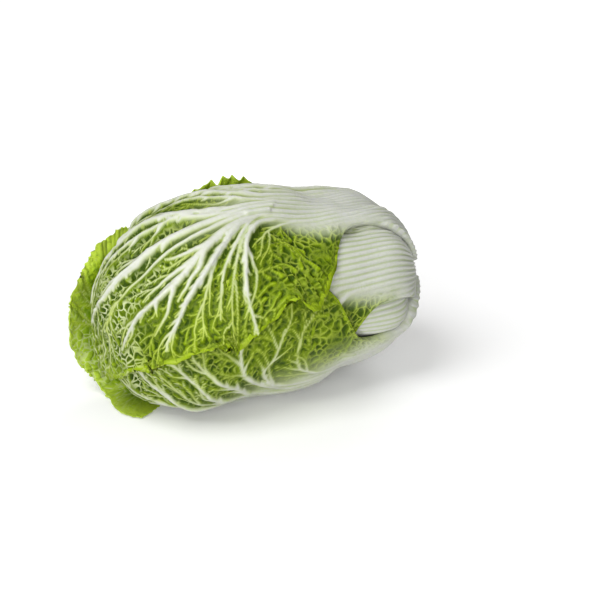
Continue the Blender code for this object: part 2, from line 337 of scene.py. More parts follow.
start = Vector((0.0, axis_y, AXIS_HEIGHT))
hit = solid_tree(leaf.name for leaf in leaves[:3]).ray_cast(start, Vector((0, 0, 1)), 0.2)
print(f"the outer leaves begin {hit[3]:.4f} m over the middle of the axis")

# %% [markdown]
# ## The edge
#
# The edge of a blade grows faster than its middle, so it can't stay flat: it lies in waves and
# scallops, with small teeth on them. Waves lift the sheet off the head near its edge, and
# scallops move the outline in and out. Both follow the bearing of the edge from the middle of the
# blade. A few sines with unlike counts never repeat within a leaf, and a seed of its own makes
# each leaf different.
#
# No leaf has a perfect outline either, so a leaf may be given four kinds of accident. A **cut**
# takes a bay out of one side, and a **trim** shortens the far edge. A **curl** turns a stretch of
# a side up into a spiky frill, and a **flap** shifts a whole patch of the sheet by so many
# metres. All of them fade out as a bell curve does, so none leaves a corner. A cut or a curl is
# written as its side, -1 or 1, then the middle of its bell, its spread and how far it goes, all
# in metres up the leaf. A trim and a flap have a place across, u, instead of a side. Where a
# **flat side** must lie close to the head, its waves are taken out again, up to a height.

# %% Waves, scallops and accidents
BLADE_MIDDLE = 0.205  # up a leaf from its foot
SCALLOPS, TEETH, CRIMPS = (13, 19, 29), (61, 83, 107), (37, 53, 71)  # sines round a blade
FREE_FROM = 0.115  # up a leaf from its foot, where its edge begins to wave
LOWEST = 0.0004  # no sheet goes nearer to what the head lies on


def uneven(t, seed, counts):
    """A wavy line, about 1 high each way, that doesn't look repeated."""
    rng = np.random.default_rng(seed)
    total = sum(
        np.sin(count * t + rng.uniform(0, 2 * math.pi)) * rng.uniform(0.6, 1.0) for count in counts
    )
    return total / (0.62 * len(counts))


def hill(t, middle, spread):
    """A bell curve, 1 high."""
    return np.exp(-(((t - middle) / spread) ** 2))


def edge_share(leaf, u, v):
    """0 inside the blade, rising to 1 at its edge."""
    side = np.clip((np.abs(u) - 0.72) / 0.28, 0, 1) * smooth((v - 0.22) / 0.15)
    far = np.clip((v - 0.84) / 0.16, 0, 1)
    return np.clip(np.hypot(side, far), 0, 1)


def edge_outline(leaf, u, v, look, near, bearing):
    """The chart of a leaf with its scallops, teeth, cuts and trims."""
    x, y = leaf_chart(leaf, u, v)
    seed = 10 * leaf.index
    scallop = look.scallop * uneven(bearing, seed, SCALLOPS)
    scallop = scallop + look.teeth * uneven(bearing, seed + 1, TEETH)
    scallop = scallop * smooth((y - FREE_FROM) / 0.05)
    x = x + near**2 * scallop * np.sin(bearing)
    y = y + near**2 * scallop * np.cos(bearing)
    for side, middle, spread, most in look.cuts:
        cut = most * hill(y, middle, spread) * np.clip(side * u, 0, 1) ** 1.5
        x = x - side * cut
    for middle, spread, most in look.trims:
        y = y - most * hill(u, middle, spread) * smooth((v - 0.55) / 0.45)
    return x, y


def edge_lift(leaf, u, y, look, near, bearing):
    """How far the waves and curls of an edge stand off the head."""
    seed = 10 * leaf.index
    broad = 0.5 + 0.5 * uneven(bearing, seed + 2, look.waves)
    fine = uneven(bearing + 0.4 * broad, seed + 3, CRIMPS)
    lift = look.frill * near**1.6 * (0.3 + 0.7 * broad) + look.crimp * near**2.2 * (fine + 1) / 2
    lift = lift * smooth((y - FREE_FROM) / 0.05)
    for side, until in look.flat_sides:
        flat = smooth((side * u - 0.4) / 0.3) * (1 - smooth((y - until) / 0.03))
        lift = lift * (1 - flat)
    spikes = np.clip(0.8 + 0.9 * uneven(bearing, seed + 1, TEETH), 0, 2)
    for side, middle, spread, most in look.curls:
        here = hill(y, middle, spread) * smooth((side * u - 0.55) / 0.45)
        lift = lift + most * here * spikes
    return lift


def sheet_places(leaf, u, v, look):
    """The smooth sheet of a leaf: its places, and how near each is to the edge."""
    x, y = leaf_chart(leaf, u, v)
    near = edge_share(leaf, u, v)
    bearing = np.arctan2(x, y - BLADE_MIDDLE)
    x, y = edge_outline(leaf, u, v, look, near, bearing)
    lift = edge_lift(leaf, u, y, look, near, bearing)
    rows, columns = (u[:, 0] + 1) / 2 * leaf.cells, v[0] * leaf.cells
    distance = read_between(leaf.distances, rows, columns)
    places = place_on(*rays_of_chart(leaf, x, y), distance + lift)
    for u_middle, v_middle, u_spread, v_spread, shift in look.flaps:
        here = hill(u, u_middle, u_spread) * hill(v, v_middle, v_spread)
        places = places + here[..., None] * np.array(shift)
    places[..., 2] = np.maximum(places[..., 2], LOWEST)
    return places, near


sample = uneven(np.linspace(0, 2 * math.pi, 500), 1, SCALLOPS)
print(f"the wavy line of scallops runs from {sample.min():.2f} to {sample.max():.2f}")

# %% [markdown]
# ## Ribs
#
# The white midrib of a napa leaf is a bundle: side ribs run up inside it, side by side, and leave
# it one by one, first at a small angle and then more and more outwards, so that together they
# make a fan. Each is given here by where it starts, where it leaves the bundle and where it ends,
# and a curve is drawn through those.
#
# Ribs are planned on the flat chart, and kept as places on the sheet itself, with a half width at
# each point. Their true distances are then those on the leaf, and not those on the chart, which
# shrinks where the leaf runs over the tip.

# %% Lines and the bundle
STRIDE = 0.0015  # between the points of a rib


def bowed(points, stride=STRIDE):
    """A smooth line through a few points, in even strides."""
    points = np.array(points, float)
    at = np.concatenate([[0], np.cumsum(np.linalg.norm(np.diff(points, axis=0), axis=1))])
    fine = np.linspace(0, at[-1], max(int(at[-1] / stride), 4))
    return np.stack([curve_through(np.stack([at, points[:, k]], 1), fine) for k in range(2)], 1)


def bundle_width(y):
    """Half the width of the white bundle that the midrib is, this far up a leaf."""
    return 0.040 * (1 - smooth((y - 0.03) / 0.24)) + 0.004


def bundle_middle(leaf, y):
    """The middle of the bundle: that of the leaf over the front leans to one side."""
    return 0.022 * smooth(y / 0.2) if leaf.index == 2 else 0 * y


def width_at(leaf, y, side):
    """Half the width of a blade on one side, on the chart."""
    share = np.clip(y / leaf.length, 0, 1)
    return ROUND_RADIUS * float(half_wrap(leaf, share, side))


foot, blade = bundle_width(0.0), bundle_width(0.25)
print(f"half the bundle is {foot:.3f} m wide at the foot and {blade:.3f} m up in the blade")

# %% [markdown]
# ## Branches
#
# Smaller branches are grown, not drawn. A branch sets out from its rib at an angle, bends back
# along it towards the edge with a little unsteadiness, and stops where it would meet another.
# Where it leaves, it is as wide as the rib, and it narrows to its own width within a few
# millimetres, so the fork is a smooth crotch, as on the plant. Order 1 is a rib, and each later
# order is thinner and shorter and sets out more steeply.

# %% A growing network
CLEAR = 0.0022  # a growing branch stops this near to another
FLARE = {2: 0.004, 3: 0.002, 4: 0.002}  # how soon each order narrows from the width of its rib
ANGLES = {2: (20, 38), 3: (26, 50), 4: (30, 60)}  # degrees at which each order sets out
SHORTEST = 4  # points; a shorter branch isn't kept


def add_object(name, mesh):
    """A new object in the scene."""
    made = bpy.data.objects.new(name, mesh)
    bpy.context.scene.collection.objects.link(made)
    return made


class Network:
    """The ribs of one leaf: runs of points on the chart, each point with a half width."""

    def __init__(self, leaf, places):
        self.leaf = leaf
        self.places = places
        self.runs = []
        self.taken = {}
        self.rng = np.random.default_rng(leaf.index)

    def on_sheet(self, points):
        """Where points of the chart are on the sheet."""
        points = np.atleast_2d(points)
        share = np.clip(points[:, 1] / self.leaf.length, 0, 1)
        wide = ROUND_RADIUS * half_wrap(self.leaf, share, points[:, 0])
        u = np.clip(points[:, 0] / wide, -1, 1)
        v = np.clip(share / (1 - self.leaf.arc * np.abs(u) ** 3), 0, 1)
        rows, columns = (n - 1 for n in self.places.shape[:2])
        i = np.clip(np.floor((u + 1) / 2 * rows).astype(int), 0, rows - 1)
        j = np.clip(np.floor(v * columns).astype(int), 0, columns - 1)
        a, b = ((u + 1) / 2 * rows - i)[:, None], (v * columns - j)[:, None]
        p = self.places
        low = (1 - b) * p[i, j] + b * p[i, j + 1]
        high = (1 - b) * p[i + 1, j] + b * p[i + 1, j + 1]
        return (1 - a) * low + a * high

    def cell(self, place):
        return tuple((place / CLEAR).round().astype(int))

    def crowded(self, place, own):
        """Whether another run has been near this place."""
        i, j, k = self.cell(place)
        return any(
            self.taken.get((i + a, j + b, k + c), own) != own
            for a in (-1, 0, 1) for b in (-1, 0, 1) for c in (-1, 0, 1)
        )

    def add(self, points, widths, order):
        run = len(self.runs)
        places = self.on_sheet(points)
        self.runs.append((points, widths, order, places))
        for place in places:
            self.taken.setdefault(self.cell(place), run)
        return run

    def branch(self, parent, start, side, length, width, order):
        """Grows one branch from a point of its parent. Its run is None if it has no room."""
        points = self.runs[parent][0]
        ahead = points[min(start + 2, len(points) - 1)] - points[max(start - 2, 0)]
        leaving = side * math.radians(self.rng.uniform(*ANGLES[order]))
        heading = math.atan2(ahead[0], ahead[1]) + leaving
        turn = -side * math.radians(self.rng.uniform(0, 22)) / 0.02  # it bends back as it goes
        at = points[start].copy()
        path = [at.copy()]
        while len(path) * STRIDE < length:
            heading += turn * STRIDE + self.rng.normal(0, 0.09)
            over_tip = at[1] + REACH_LOW > TRUNK_LENGTH
            shrink = max(math.cos(at[0] / ROUND_RADIUS), 0.15) if over_tip else 1.0
            at = at + STRIDE * np.array((math.sin(heading), math.cos(heading) / shrink))
            inside = 0 < at[1] < self.leaf.length * 0.985
            if not inside or abs(at[0]) > width_at(self.leaf, at[1], at[0]) * 0.98:
                break
            if len(path) > 3 and self.crowded(self.on_sheet(at)[0], parent):
                break
            path.append(at.copy())
        if len(path) < SHORTEST:
            return None
        share = np.linspace(0, 1, len(path))
        flare = np.exp(-share * len(path) * STRIDE / FLARE[order])
        root = self.runs[parent][1][start]
        widths = width * (1 - 0.65 * share) * (1 - flare) + root * flare
        return self.add(np.array(path), widths, order)

    def fork(self, parent, spacing, length, order, thinner=0.55, skip=0.0, least=0.0004):
        """Grows branches from both sides of a run, by turns."""
        points, widths = self.runs[parent][:2]
        made = []
        side = 1 if self.rng.random() < 0.5 else -1
        at = skip + spacing * self.rng.uniform(0.3, 1.0)
        while at < len(points) * STRIDE - 0.002:
            k = int(at / STRIDE)
            at += spacing * self.rng.uniform(0.35, 0.75)
            aside = abs(points[k, 0] - bundle_middle(self.leaf, points[k, 1]))
            if aside < bundle_width(points[k, 1]):
                continue
            width = max(widths[k] * thinner, least)
            long = length * self.rng.uniform(0.7, 1.25)
            run = self.branch(parent, k, side, long, width, order)
            if run is not None:
                made.append(run)
            side = -side
        return made

    def as_object(self, name, orders):
        """The runs of some orders as one object of edges, with the half widths as an attribute."""
        points, edges, widths = [], [], []
        for _, width, order, places in self.runs:
            if order in orders:
                edges += [(len(points) + k, len(points) + k + 1) for k in range(len(places) - 1)]
                points += [tuple(place) for place in places]
                widths += list(width)
        mesh = bpy.data.meshes.new(name)
        mesh.from_pydata(points, edges, [])
        mesh.attributes.new("half_width", "FLOAT", "POINT").data.foreach_set("value", widths)
        return add_object(name, mesh)


# %% [markdown]
# ## Planning a leaf's ribs
#
# A leaf's ribs are drawn first, then every rib gets its branches, and every branch its own, down
# to order 4. A rib swells a little where it leaves the bundle and thins towards its end, and it
# sways by a millimetre or two, because nothing on a plant is ruled. Most leaves get their ribs
# from one rule, the fan: pairs leave the midrib higher and higher, each nearer to its course.

# %% Ribs and fans
FAN_MIDDLE = 205  # millimetres up a leaf, the place that the ribs of a fan spread round


def draw_ribs(leaf, ribs, places):
    """The whole network of a leaf. A rib is a half width and then its places, in millimetres."""
    net = Network(leaf, places)
    main, second, third = [], [], []
    for width, *points in ribs:
        points = bowed(np.array(points, float) / 1000)
        at = np.linspace(0, 1, len(points))
        points[:, 0] += 0.0016 * uneven(at * 9, leaf.index + len(main), (1, 2.3, 3.7)) * at
        taper = (0.38 + 0.62 * smooth(at / 0.36)) * (0.16 + 0.84 * (1 - smooth((at - 0.25) / 0.85)))
        main.append(net.add(points, width / 1000 * taper, 1))
    for run in main:
        second += net.fork(run, 0.016, 0.052, 2, 0.55, skip=0.12, least=0.0010)
    for run in second:
        third += net.fork(run, 0.0120, 0.026, 3, 0.50, least=0.0006)
    for run in main:
        third += net.fork(run, 0.0110, 0.024, 3, 0.3, skip=0.11, least=0.0007)
    for run in third:
        net.fork(run, 0.0080, 0.014, 4, 0.7)
    return net


def fan(leaf, count=7):
    """The ribs of a leaf by rule: a midrib, and as many side ribs on each side as count says."""
    rng = np.random.default_rng(100 + leaf.index)
    top = leaf.length * 1000
    ribs = [(5.6, (0, 0), (rng.uniform(-3, 3), top * 0.45), (rng.uniform(-8, 8), top * 0.93))]
    for side in (-1, 1):
        for k in range(count):
            share = (k + rng.uniform(0.2, 0.8)) / count
            leave = 118 + 95 * share
            bearing = math.radians(100 - 88 * share)
            reach = 1000 * width_at(leaf, FAN_MIDDLE / 1000, side) * 0.93
            end_x = side * reach * math.sin(bearing)
            far = top - 215 if bearing < math.pi / 2 else 60
            end_y = FAN_MIDDLE + far * math.cos(bearing)
            foot = side * (34 - 31 * share)
            start = (side * (30 - 26 * share), leave)
            knee = (
                0.62 * start[0] + 0.38 * end_x,
                leave + (0.52 + 0.1 * share) * (end_y - leave),
            )
            ribs.append((4.8 - 1.2 * share, (foot, 0), start, knee, (end_x, end_y)))
    return ribs


print(len(fan(leaves[3])), "ribs in a fan")

# %% [markdown]
# ## Sums as nodes
#
# Both the shape and the finish of a leaf are sums over its surface. Adding each node by hand
# hides the sum, so one small class wraps a socket and overloads the usual operators: an
# expression on sockets then adds its own Math nodes. It serves trees of geometry and trees of
# shaders alike. Colours don't go through it, because a Math node would turn them grey: they have
# a mix of their own.

# %% Sockets that add up
class Value:
    """A socket that holds a number or a vector."""

    def __init__(self, nodes, socket):
        self.nodes, self.socket = nodes, socket

    def __add__(self, other):
        return self.nodes.sum("ADD", self, other)

    def __sub__(self, other):
        return self.nodes.sum("SUBTRACT", self, other)

    def __rsub__(self, other):
        return self.nodes.sum("SUBTRACT", other, self)

    def __mul__(self, other):
        return self.nodes.sum("MULTIPLY", self, other)

    def __truediv__(self, other):
        return self.nodes.sum("DIVIDE", self, other)

    def __rtruediv__(self, other):
        return self.nodes.sum("DIVIDE", other, self)

    __radd__, __rmul__ = __add__, __mul__


class Nodes:
    """A tree that nodes are added to."""

    def __init__(self, tree):
        self.tree = tree

    def add(self, kind, settings=None, inputs=None, out=0):
        """One node: its settings first, then the values or links of its sockets."""
        node = self.tree.nodes.new(kind)
        for name, value in (settings or {}).items():
            setattr(node, name, value)
        for name, value in (inputs or {}).items():
            self.put(node.inputs[name], value)
        return Value(self, node.outputs[out])

    def put(self, socket, value):
        if isinstance(value, Value):
            self.tree.links.new(value.socket, socket)
        else:
            socket.default_value = value

    def sum(self, operation, a, b=0.0):
        return self.add("ShaderNodeMath", {"operation": operation}, {0: a, 1: b})

    def least(self, a, b):
        return self.sum("MINIMUM", a, b)

    def most(self, a, b):
        return self.sum("MAXIMUM", a, b)

    def rise(self, value, start, end):
        """0 before start and 1 after end, smoothly between them."""
        limits = {"Value": value, "From Min": start, "From Max": end}
        return self.add("ShaderNodeMapRange", {"interpolation_type": "SMOOTHSTEP"}, limits)

    def vector(self, operation, a, b=None, **inputs):
        """Vector Math. Its sockets are numbered, apart from the one named Scale."""
        inputs = {0: a, **({} if b is None else {1: b}), **inputs}
        out = "Value" if operation == "LENGTH" else 0
        return self.add("ShaderNodeVectorMath", {"operation": operation}, inputs, out)

    def noise(self, places, scale, detail, out=0):
        inputs = {"Vector": places, "Scale": scale, "Detail": detail}
        return self.add("ShaderNodeTexNoise", {"noise_dimensions": "3D"}, inputs, out)

    def to_wall(self, places, scale):
        """In a pattern of cells, how far it is to the nearest wall between two of them."""
        settings = {"feature": "DISTANCE_TO_EDGE", "voronoi_dimensions": "3D"}
        return self.add("ShaderNodeTexVoronoi", settings, {"Vector": places, "Scale": scale})

    def mixed(self, factor, a, b):
        """A mix of two colours."""
        return self.add("ShaderNodeMix", {"data_type": "RGBA"}, {0: factor, 6: a, 7: b}, 2)


# %% [markdown]
# ## The finest net
#
# The finest veins of a leaf make a net of small cells, which nobody could place by hand. The
# walls of a Voronoi pattern are such a net. Its even cells would look like a honeycomb, so noise
# first pushes the places about, and a slower noise lets the net fade in broad patches and stand
# out between them. The shape and the finish of a leaf share these patterns, so colour and relief
# fall together.

# %% Patterns that shape and finish share
CELL = 0.0062  # across one cell of the finest net
WARP = 0.010  # how far its cells are pushed out of shape


def warped(n, spot):
    """Places pushed about, so that a pattern laid over them isn't even."""
    return n.vector("ADD", spot, n.vector("SCALE", n.noise(spot, 90.0, 1.0, "Color"), Scale=WARP))


def patches(n, spot):
    """0 where the finest net fades, and 1 where it stands out."""
    return n.rise(n.noise(spot, 26.0, 1.0), 0.38, 0.60)


print(f"about {1e-4 / CELL**2:.0f} cells of the finest net in a square centimetre")

# %% [markdown]
# ## The ribs and hollows of a sheet
#
# From outside, a napa leaf is a net of raised ribs with the blade sunk between them. That follows
# a rule, so a tree of geometry nodes makes it: each point of the sheet looks up how far it is
# from the nearest rib and how wide that rib is, and moves out or in along its own way out. The
# widths are blurred a little, because two ribs that meet would else leave a step where the
# nearest one changes.
#
# The sheet brings what the rule needs as attributes. **spot** is the place before it moves, and
# **out** its way out. **free** is 0 where another leaf presses it smooth. **ease** is the share
# of the full depth that its hollows may have over the leaf below, and **sink** moves it inwards.
# **stalk**, **stripe** and **edge** say where the thick stalk, its ridges and the edge are.
#
# The tree also stores what it found, so that the finish can colour the ribs where they really
# are. One of these is the **cavity**: how far a point lies below the ground around it, which is
# the relief's own height taken from a blurred copy of it. The finish uses it to paint shade into
# the hollows and light onto what stands above them.

# %% The tree of geometry nodes
DEEP = 0.0010  # a cavity this deep counts as 1


def store(n, shape, values):
    """Stores values by name on the points of a shape."""
    for name, value in values.items():
        inputs = {"Geometry": shape, "Name": name, "Value": value}
        shape = n.add("GeometryNodeStoreNamedAttribute", {"data_type": "FLOAT"}, inputs)
    return shape


def relief_inputs(tree):
    """The named inputs of the tree."""
    made = tree.interface.new_socket
    made("Geometry", in_out="INPUT", socket_type="NodeSocketGeometry")
    for name in ("Ribs", "Branches"):
        made(name, in_out="INPUT", socket_type="NodeSocketObject")
    for name in ("Rib Height", "Branch Height", "Hollow Depth", "Puckers", "Cell Size"):
        made(name, in_out="INPUT", socket_type="NodeSocketFloat")
    made("Finish", in_out="INPUT", socket_type="NodeSocketMaterial")
    made("Geometry", in_out="OUTPUT", socket_type="NodeSocketGeometry")


def relief_tree():
    """The tree that raises ribs and branches, and sinks and crumples the blade between them."""
    tree = bpy.data.node_groups.new("ribs and hollows", "GeometryNodeTree")
    relief_inputs(tree)
    n = Nodes(tree)
    group = tree.nodes.new("NodeGroupInput")
    given = {socket.name: Value(n, socket) for socket in group.outputs if socket.name}

    def brought(name, kind="FLOAT"):
        return n.add("GeometryNodeInputNamedAttribute", {"data_type": kind}, {"Name": name})

    def blurred(value, times):
        inputs = {"Value": value, "Iterations": times}
        return n.add("GeometryNodeBlurAttribute", {"data_type": "FLOAT"}, inputs)

    spot, out = brought("spot", "FLOAT_VECTOR"), brought("out", "FLOAT_VECTOR")
    free, sink, ease, edge = (brought(name) for name in ("free", "sink", "ease", "edge"))
    stalk, stripe = brought("stalk"), brought("stripe")

    def nearest(name, times):
        """How far off the nearest rib of an object is, and its half width, blurred."""
        lines = n.add("GeometryNodeObjectInfo", {}, {"Object": given[name]}, "Geometry")
        at = {"Geometry": lines, "Sample Position": spot}
        off = n.add("GeometryNodeProximity", {"target_element": "EDGES"}, at, "Distance")
        index = n.add("GeometryNodeSampleNearest", {}, at)
        half = n.add(
            "GeometryNodeSampleIndex",
            {"data_type": "FLOAT"},
            {"Geometry": lines, "Value": brought("half_width"), "Index": index},
        )
        return off, blurred(half, times)

    rib_off, rib_half = nearest("Ribs", 4)
    twig_off, twig_half = nearest("Branches", 2)
    rib = 1 - n.rise(rib_off / rib_half, 0.15, 1.25)  # 1 on a rib
    fold = 1 - n.rise(rib_off, 0.0, 0.010)  # the blade rises with its rib
    twig = (1 - n.rise(twig_off / twig_half, 0.20, 1.60)) * (1 - rib)  # 1 on a branch
    off_ribs = n.rise(rib_off - rib_half, 0.0, 0.0045)
    far = n.least(off_ribs, n.rise(twig_off - twig_half, 0.0, 0.0028))

    zone = patches(n, spot)
    cells = n.to_wall(warped(n, spot), 1.0 / given["Cell Size"])
    pit = n.rise(cells, 0.02, 0.34) * (0.35 + 0.65 * zone)  # most in the middle of a cell
    lumps, crumple = n.noise(spot, 60.0, 1.5), n.noise(spot, 150.0, 1.0)
    blade = 1 - stalk
    ridge = given["Rib Height"] * (rib * blade * 0.6 + fold * blade * 0.8)
    height = (
        ridge * n.rise(rib_half, 0.0002, 0.0030)
        + given["Rib Height"] * stripe * stalk * 0.42
        + given["Branch Height"] * twig * n.rise(twig_half, 0.0002, 0.0016) * blade
        - given["Hollow Depth"] * blade * (far * (0.5 + 0.5 * pit))
        + given["Puckers"] * blade * (lumps - 0.5) * 2.0
        + given["Puckers"] * blade * far * n.most(edge, zone * 0.6) * (crumple - 0.5) * 2.6
        - given["Rib Height"] * (0.20 + 0.25 * blade)
    )
    height = (n.most(height, 0.0) + n.least(height, 0.0) * ease) * free
    cavity = (blurred(height, 8) - height) / DEEP

    moved = n.vector("SCALE", out, Scale=height - sink)
    shape = n.add("GeometryNodeSetPosition", {}, {"Geometry": given["Geometry"], "Offset": moved})
    white = rib * n.rise(rib_half, 0.0004, 0.0017)
    found = {"rib": rib, "white": white, "twig": twig, "far": far, "cavity": cavity}
    shape = store(n, shape, found)
    shape = n.add("GeometryNodeRealizeInstances", {}, {"Geometry": shape})
    shape = n.add("GeometryNodeSetMaterial", {}, {"Geometry": shape, "Material": given["Finish"]})
    tree.links.new(shape.socket, tree.nodes.new("NodeGroupOutput").inputs["Geometry"])
    return tree


relief = relief_tree()
print("relief tree:", len(relief.nodes), "nodes")

# %% [markdown]
# ## What each point of a sheet knows
#
# The tree only has to look things up, because the zones of a leaf are worked out first, as fields
# of numbers over its grid. The **stalk** is the thick foot of the leaf and the bundle above it,
# with parallel **stripes** that are its strands. A **haze** of pale tissue lies beside it, where
# the blade begins. The **tip** is the part over the end of the head, where the net is whitest.
#
# Room decides the rest. A covered blade lies calm. An open blade stands at least a few
# millimetres off the leaf below, so where there is less room than that, it **rises**. Its hollows
# may then be as deep as the room that is left, and they shrink evenly to fit, because simply
# cutting them off at that depth would leave them flat.

# %% Looks and fields
BLADE = 0.0008  # thickness of a blade
STALK = 0.0035  # more than that at the foot of the midrib
STRIPE = 0.0052  # from one ridge of the midrib to the next
LEAST_ROOM = 0.0028  # a blade in the open stands this far off the leaf below
GAP = 0.0012  # between the inside of one leaf and the outside of the next


class Look:
    """How one leaf's sheet is made.

    across and along are its steps each way, and ratio is how many of them its inside takes in one.
    scallop, teeth, frill and crimp are how far its edge moves, and waves are the frill's sines.
    rib, branch, hollow and pucker are heights of its relief. The rest are accidents of its edge.
    """

    def __init__(self, across, along, ratio, **more):
        self.across, self.along, self.ratio = across, along, ratio
        self.scallop, self.teeth, self.waves = 0.0030, 0.0010, (9, 14, 23)
        self.frill, self.crimp = 0.004, 0.0022
        self.cuts = self.trims = self.curls = self.flaps = self.flat_sides = ()
        self.rib, self.branch, self.hollow, self.pucker = 0.0036, 0.0018, 0.0040, 0.0016
        for name, value in more.items():
            setattr(self, name, value)


def stalk_fields(leaf, x, y):
    """The stalk, the haze beside it, and its stripes."""
    bundle = bundle_width(y)
    middle = bundle_middle(leaf, y)
    off = np.abs(x - middle)
    stalk = (1 - smooth((off - bundle * 0.55) / (bundle * 0.75))) * (1 - smooth((y - 0.10) / 0.16))
    stalk = np.maximum(stalk, 1 - smooth((y - 0.055) / 0.05))
    beyond = np.where(x > middle, 0.004, 0.024)
    fades = 1 - smooth((y - 0.15) / 0.11)
    haze = (1 - smooth((off - bundle * 0.5) / (bundle * 0.75 + beyond))) * fades
    sway = 0.0016 * uneven(y * 30, leaf.index, (1, 2.3))
    stripe = 0.5 + 0.5 * np.cos((x - middle + sway) * 2 * math.pi / STRIPE)
    return stalk, haze, stripe


def sheet_fields(leaf, look, x, y, near, over, under):
    """The fields of a leaf, each on its outside and on its inside."""
    stalk, haze, stripe = stalk_fields(leaf, x, y)
    share = y / leaf.length
    tip = smooth((share - 0.55) / 0.22) * (1 - smooth((np.abs(x) - 0.025) / 0.045))
    covered = 1 - smooth((over - 0.009) / 0.008)
    calm = (1 - 0.92 * covered) * (1 - 0.35 * near**3)
    thick = BLADE + STALK * stalk * np.clip(1 - share, 0, 1)
    room = under - thick - GAP
    rise = np.clip(LEAST_ROOM - room, 0, LEAST_ROOM) * (1 - covered) * smooth((y - 0.12) / 0.05)
    deepest = look.hollow + 1.3 * look.pucker + 0.45 * look.rib
    below = np.clip(room + rise, 0.0002, deepest)

    inner = np.s_[:: look.ratio, :: look.ratio]
    follows = look.ratio == 1  # the inside of this sheet has relief too
    depth = (thick if follows else thick + below * (1 - near) ** 0.5) - rise
    return {
        "free": (calm, calm[inner] if follows else 0 * calm[inner]),
        "sink": (-rise, depth[inner]),
        "ease": (below / deepest, 0 * below[inner]),
        "stalk": (stalk, stalk[inner]),
        "edge": (near, near[inner]),
        "tip": (tip, tip[inner]),
        "haze": (haze, haze[inner]),
        "stripe": (stripe, 0.5 + 0 * stripe[inner]),
    }


front_leaf = leaves[1]
grid = leaf_chart(front_leaf, *np.mgrid[-1:1:50j, 0:1:50j])
print(f"{stalk_fields(front_leaf, *grid)[0].mean():.0%} of {front_leaf.name} is stalk")

# %% [markdown]
# ## A closed sheet
#
# The outside of a sheet needs points a millimetre apart to carry its ribs. Its inside is hidden
# on all but the loose outermost leaf, so there it has one point for many outside ones, and it
# stays below the deepest hollow. The rim between the two is a band of fans. That closes the
# sheet, so it is a real solid with a thin edge.

# %% Building a sheet
def rim_faces(outer, inner, ratio, flip):
    """Fans between an edge of the outer grid and the coarser edge of the inner one."""
    faces = []
    half = (ratio + 1) // 2
    for c in range(len(inner) - 1):
        a, b = inner[c], inner[c + 1]
        run = outer[c * ratio : (c + 1) * ratio + 1]
        for k in range(ratio):
            faces.append((run[k + 1], run[k], a if k < half else b))
        faces.append((a, b, run[half]))
    return [face[::-1] for face in faces] if flip else faces


def closed_sheet(name, places, out, fields, ratio):
    """The mesh of a sheet, with its fields as attributes of its points."""
    rows, columns = places.shape[:2]
    small = ((rows - 1) // ratio + 1, (columns - 1) // ratio + 1)
    outer_ids = np.arange(rows * columns).reshape(rows, columns)
    inner_ids = outer_ids.size + np.arange(small[0] * small[1]).reshape(small)
    faces = [tuple(f) for f in grid_faces(0, rows, columns)]
    faces += [tuple(f) for f in grid_faces(outer_ids.size, *small, flip=True)]
    for a, b, flip in (
        (outer_ids[0], inner_ids[0], False), (outer_ids[-1], inner_ids[-1], True),
        (outer_ids[:, 0], inner_ids[:, 0], True), (outer_ids[:, -1], inner_ids[:, -1], False),
    ):
        faces += rim_faces(a, b, ratio, flip)

    def on_both(field):
        return np.concatenate([field.reshape(-1, 3), field[::ratio, ::ratio].reshape(-1, 3)])

    mesh = bpy.data.meshes.new(name)
    mesh.from_pydata(on_both(places), [], faces)
    for name, field in (("spot", places), ("out", out)):
        stored = mesh.attributes.new(name, "FLOAT_VECTOR", "POINT")
        stored.data.foreach_set("vector", on_both(field).ravel())
    for name, (a, b) in fields.items():
        stored = mesh.attributes.new(name, "FLOAT", "POINT")
        stored.data.foreach_set("value", np.concatenate([a.ravel(), b.ravel()]))
    return mesh


print(len(rim_faces(range(13), range(3), 6, False)), "faces join 12 outer edges to 2 inner ones")

# %% [markdown]
# ## From a leaf to a finished piece
#
# Each leaf is laid out as a grid, measured for room, given its fields and its ribs, and put
# through the tree. The result is kept as a plain mesh, with the modifier and the helper lines
# removed. Rays are slow in bulk, so the room is measured on a coarser grid and read evenly in
# between.

# %% Making one leaf
ROOM_CELLS = 80  # the most steps of the coarser grid each way
ENOUGH = 0.012  # more room than this under a leaf makes no difference
FLOOR_GAP = 0.0001


def room_fields(leaf, places, out):
    """The room over and under every point of a sheet."""
    steps = [n - 1 for n in places.shape[:2]]
    coarse = [np.linspace(0, n, min(n, ROOM_CELLS) + 1).round().astype(int) for n in steps]
    over, under = room_each_way(leaf, places[np.ix_(*coarse)], out[np.ix_(*coarse)])

    def spread(field):
        """A coarse field read at every point of the sheet."""
        across, along = (np.arange(n + 1) for n in steps)
        rows = np.array([np.interp(along, coarse[1], row) for row in field])
        return np.array([np.interp(across, coarse[0], row) for row in rows.T]).T

    return spread(over), spread(np.minimum(under, ENOUGH))


def shaped(sheet, net, look, finish):
    """Puts a sheet through the tree of ribs and hollows, and returns its new plain mesh."""
    lines = [net.as_object("ribs", (1, 2)), net.as_object("branches", (3, 4))]
    shaping = sheet.modifiers.new("relief", "NODES")
    shaping.node_group = relief
    names = {s.name: s.identifier for s in relief.interface.items_tree if s.in_out == "INPUT"}
    for name, value in (
        ("Ribs", lines[0]), ("Branches", lines[1]), ("Rib Height", look.rib),
        ("Branch Height", look.branch), ("Hollow Depth", look.hollow), ("Puckers", look.pucker),
        ("Cell Size", CELL), ("Finish", finish),
    ):
        shaping[names[name]] = value
    bpy.context.view_layer.update()
    evaluated = sheet.evaluated_get(bpy.context.evaluated_depsgraph_get())
    plain = bpy.data.meshes.new_from_object(evaluated)
    sheet.modifiers.remove(shaping)
    for line in lines:
        bpy.data.objects.remove(line)
    return plain


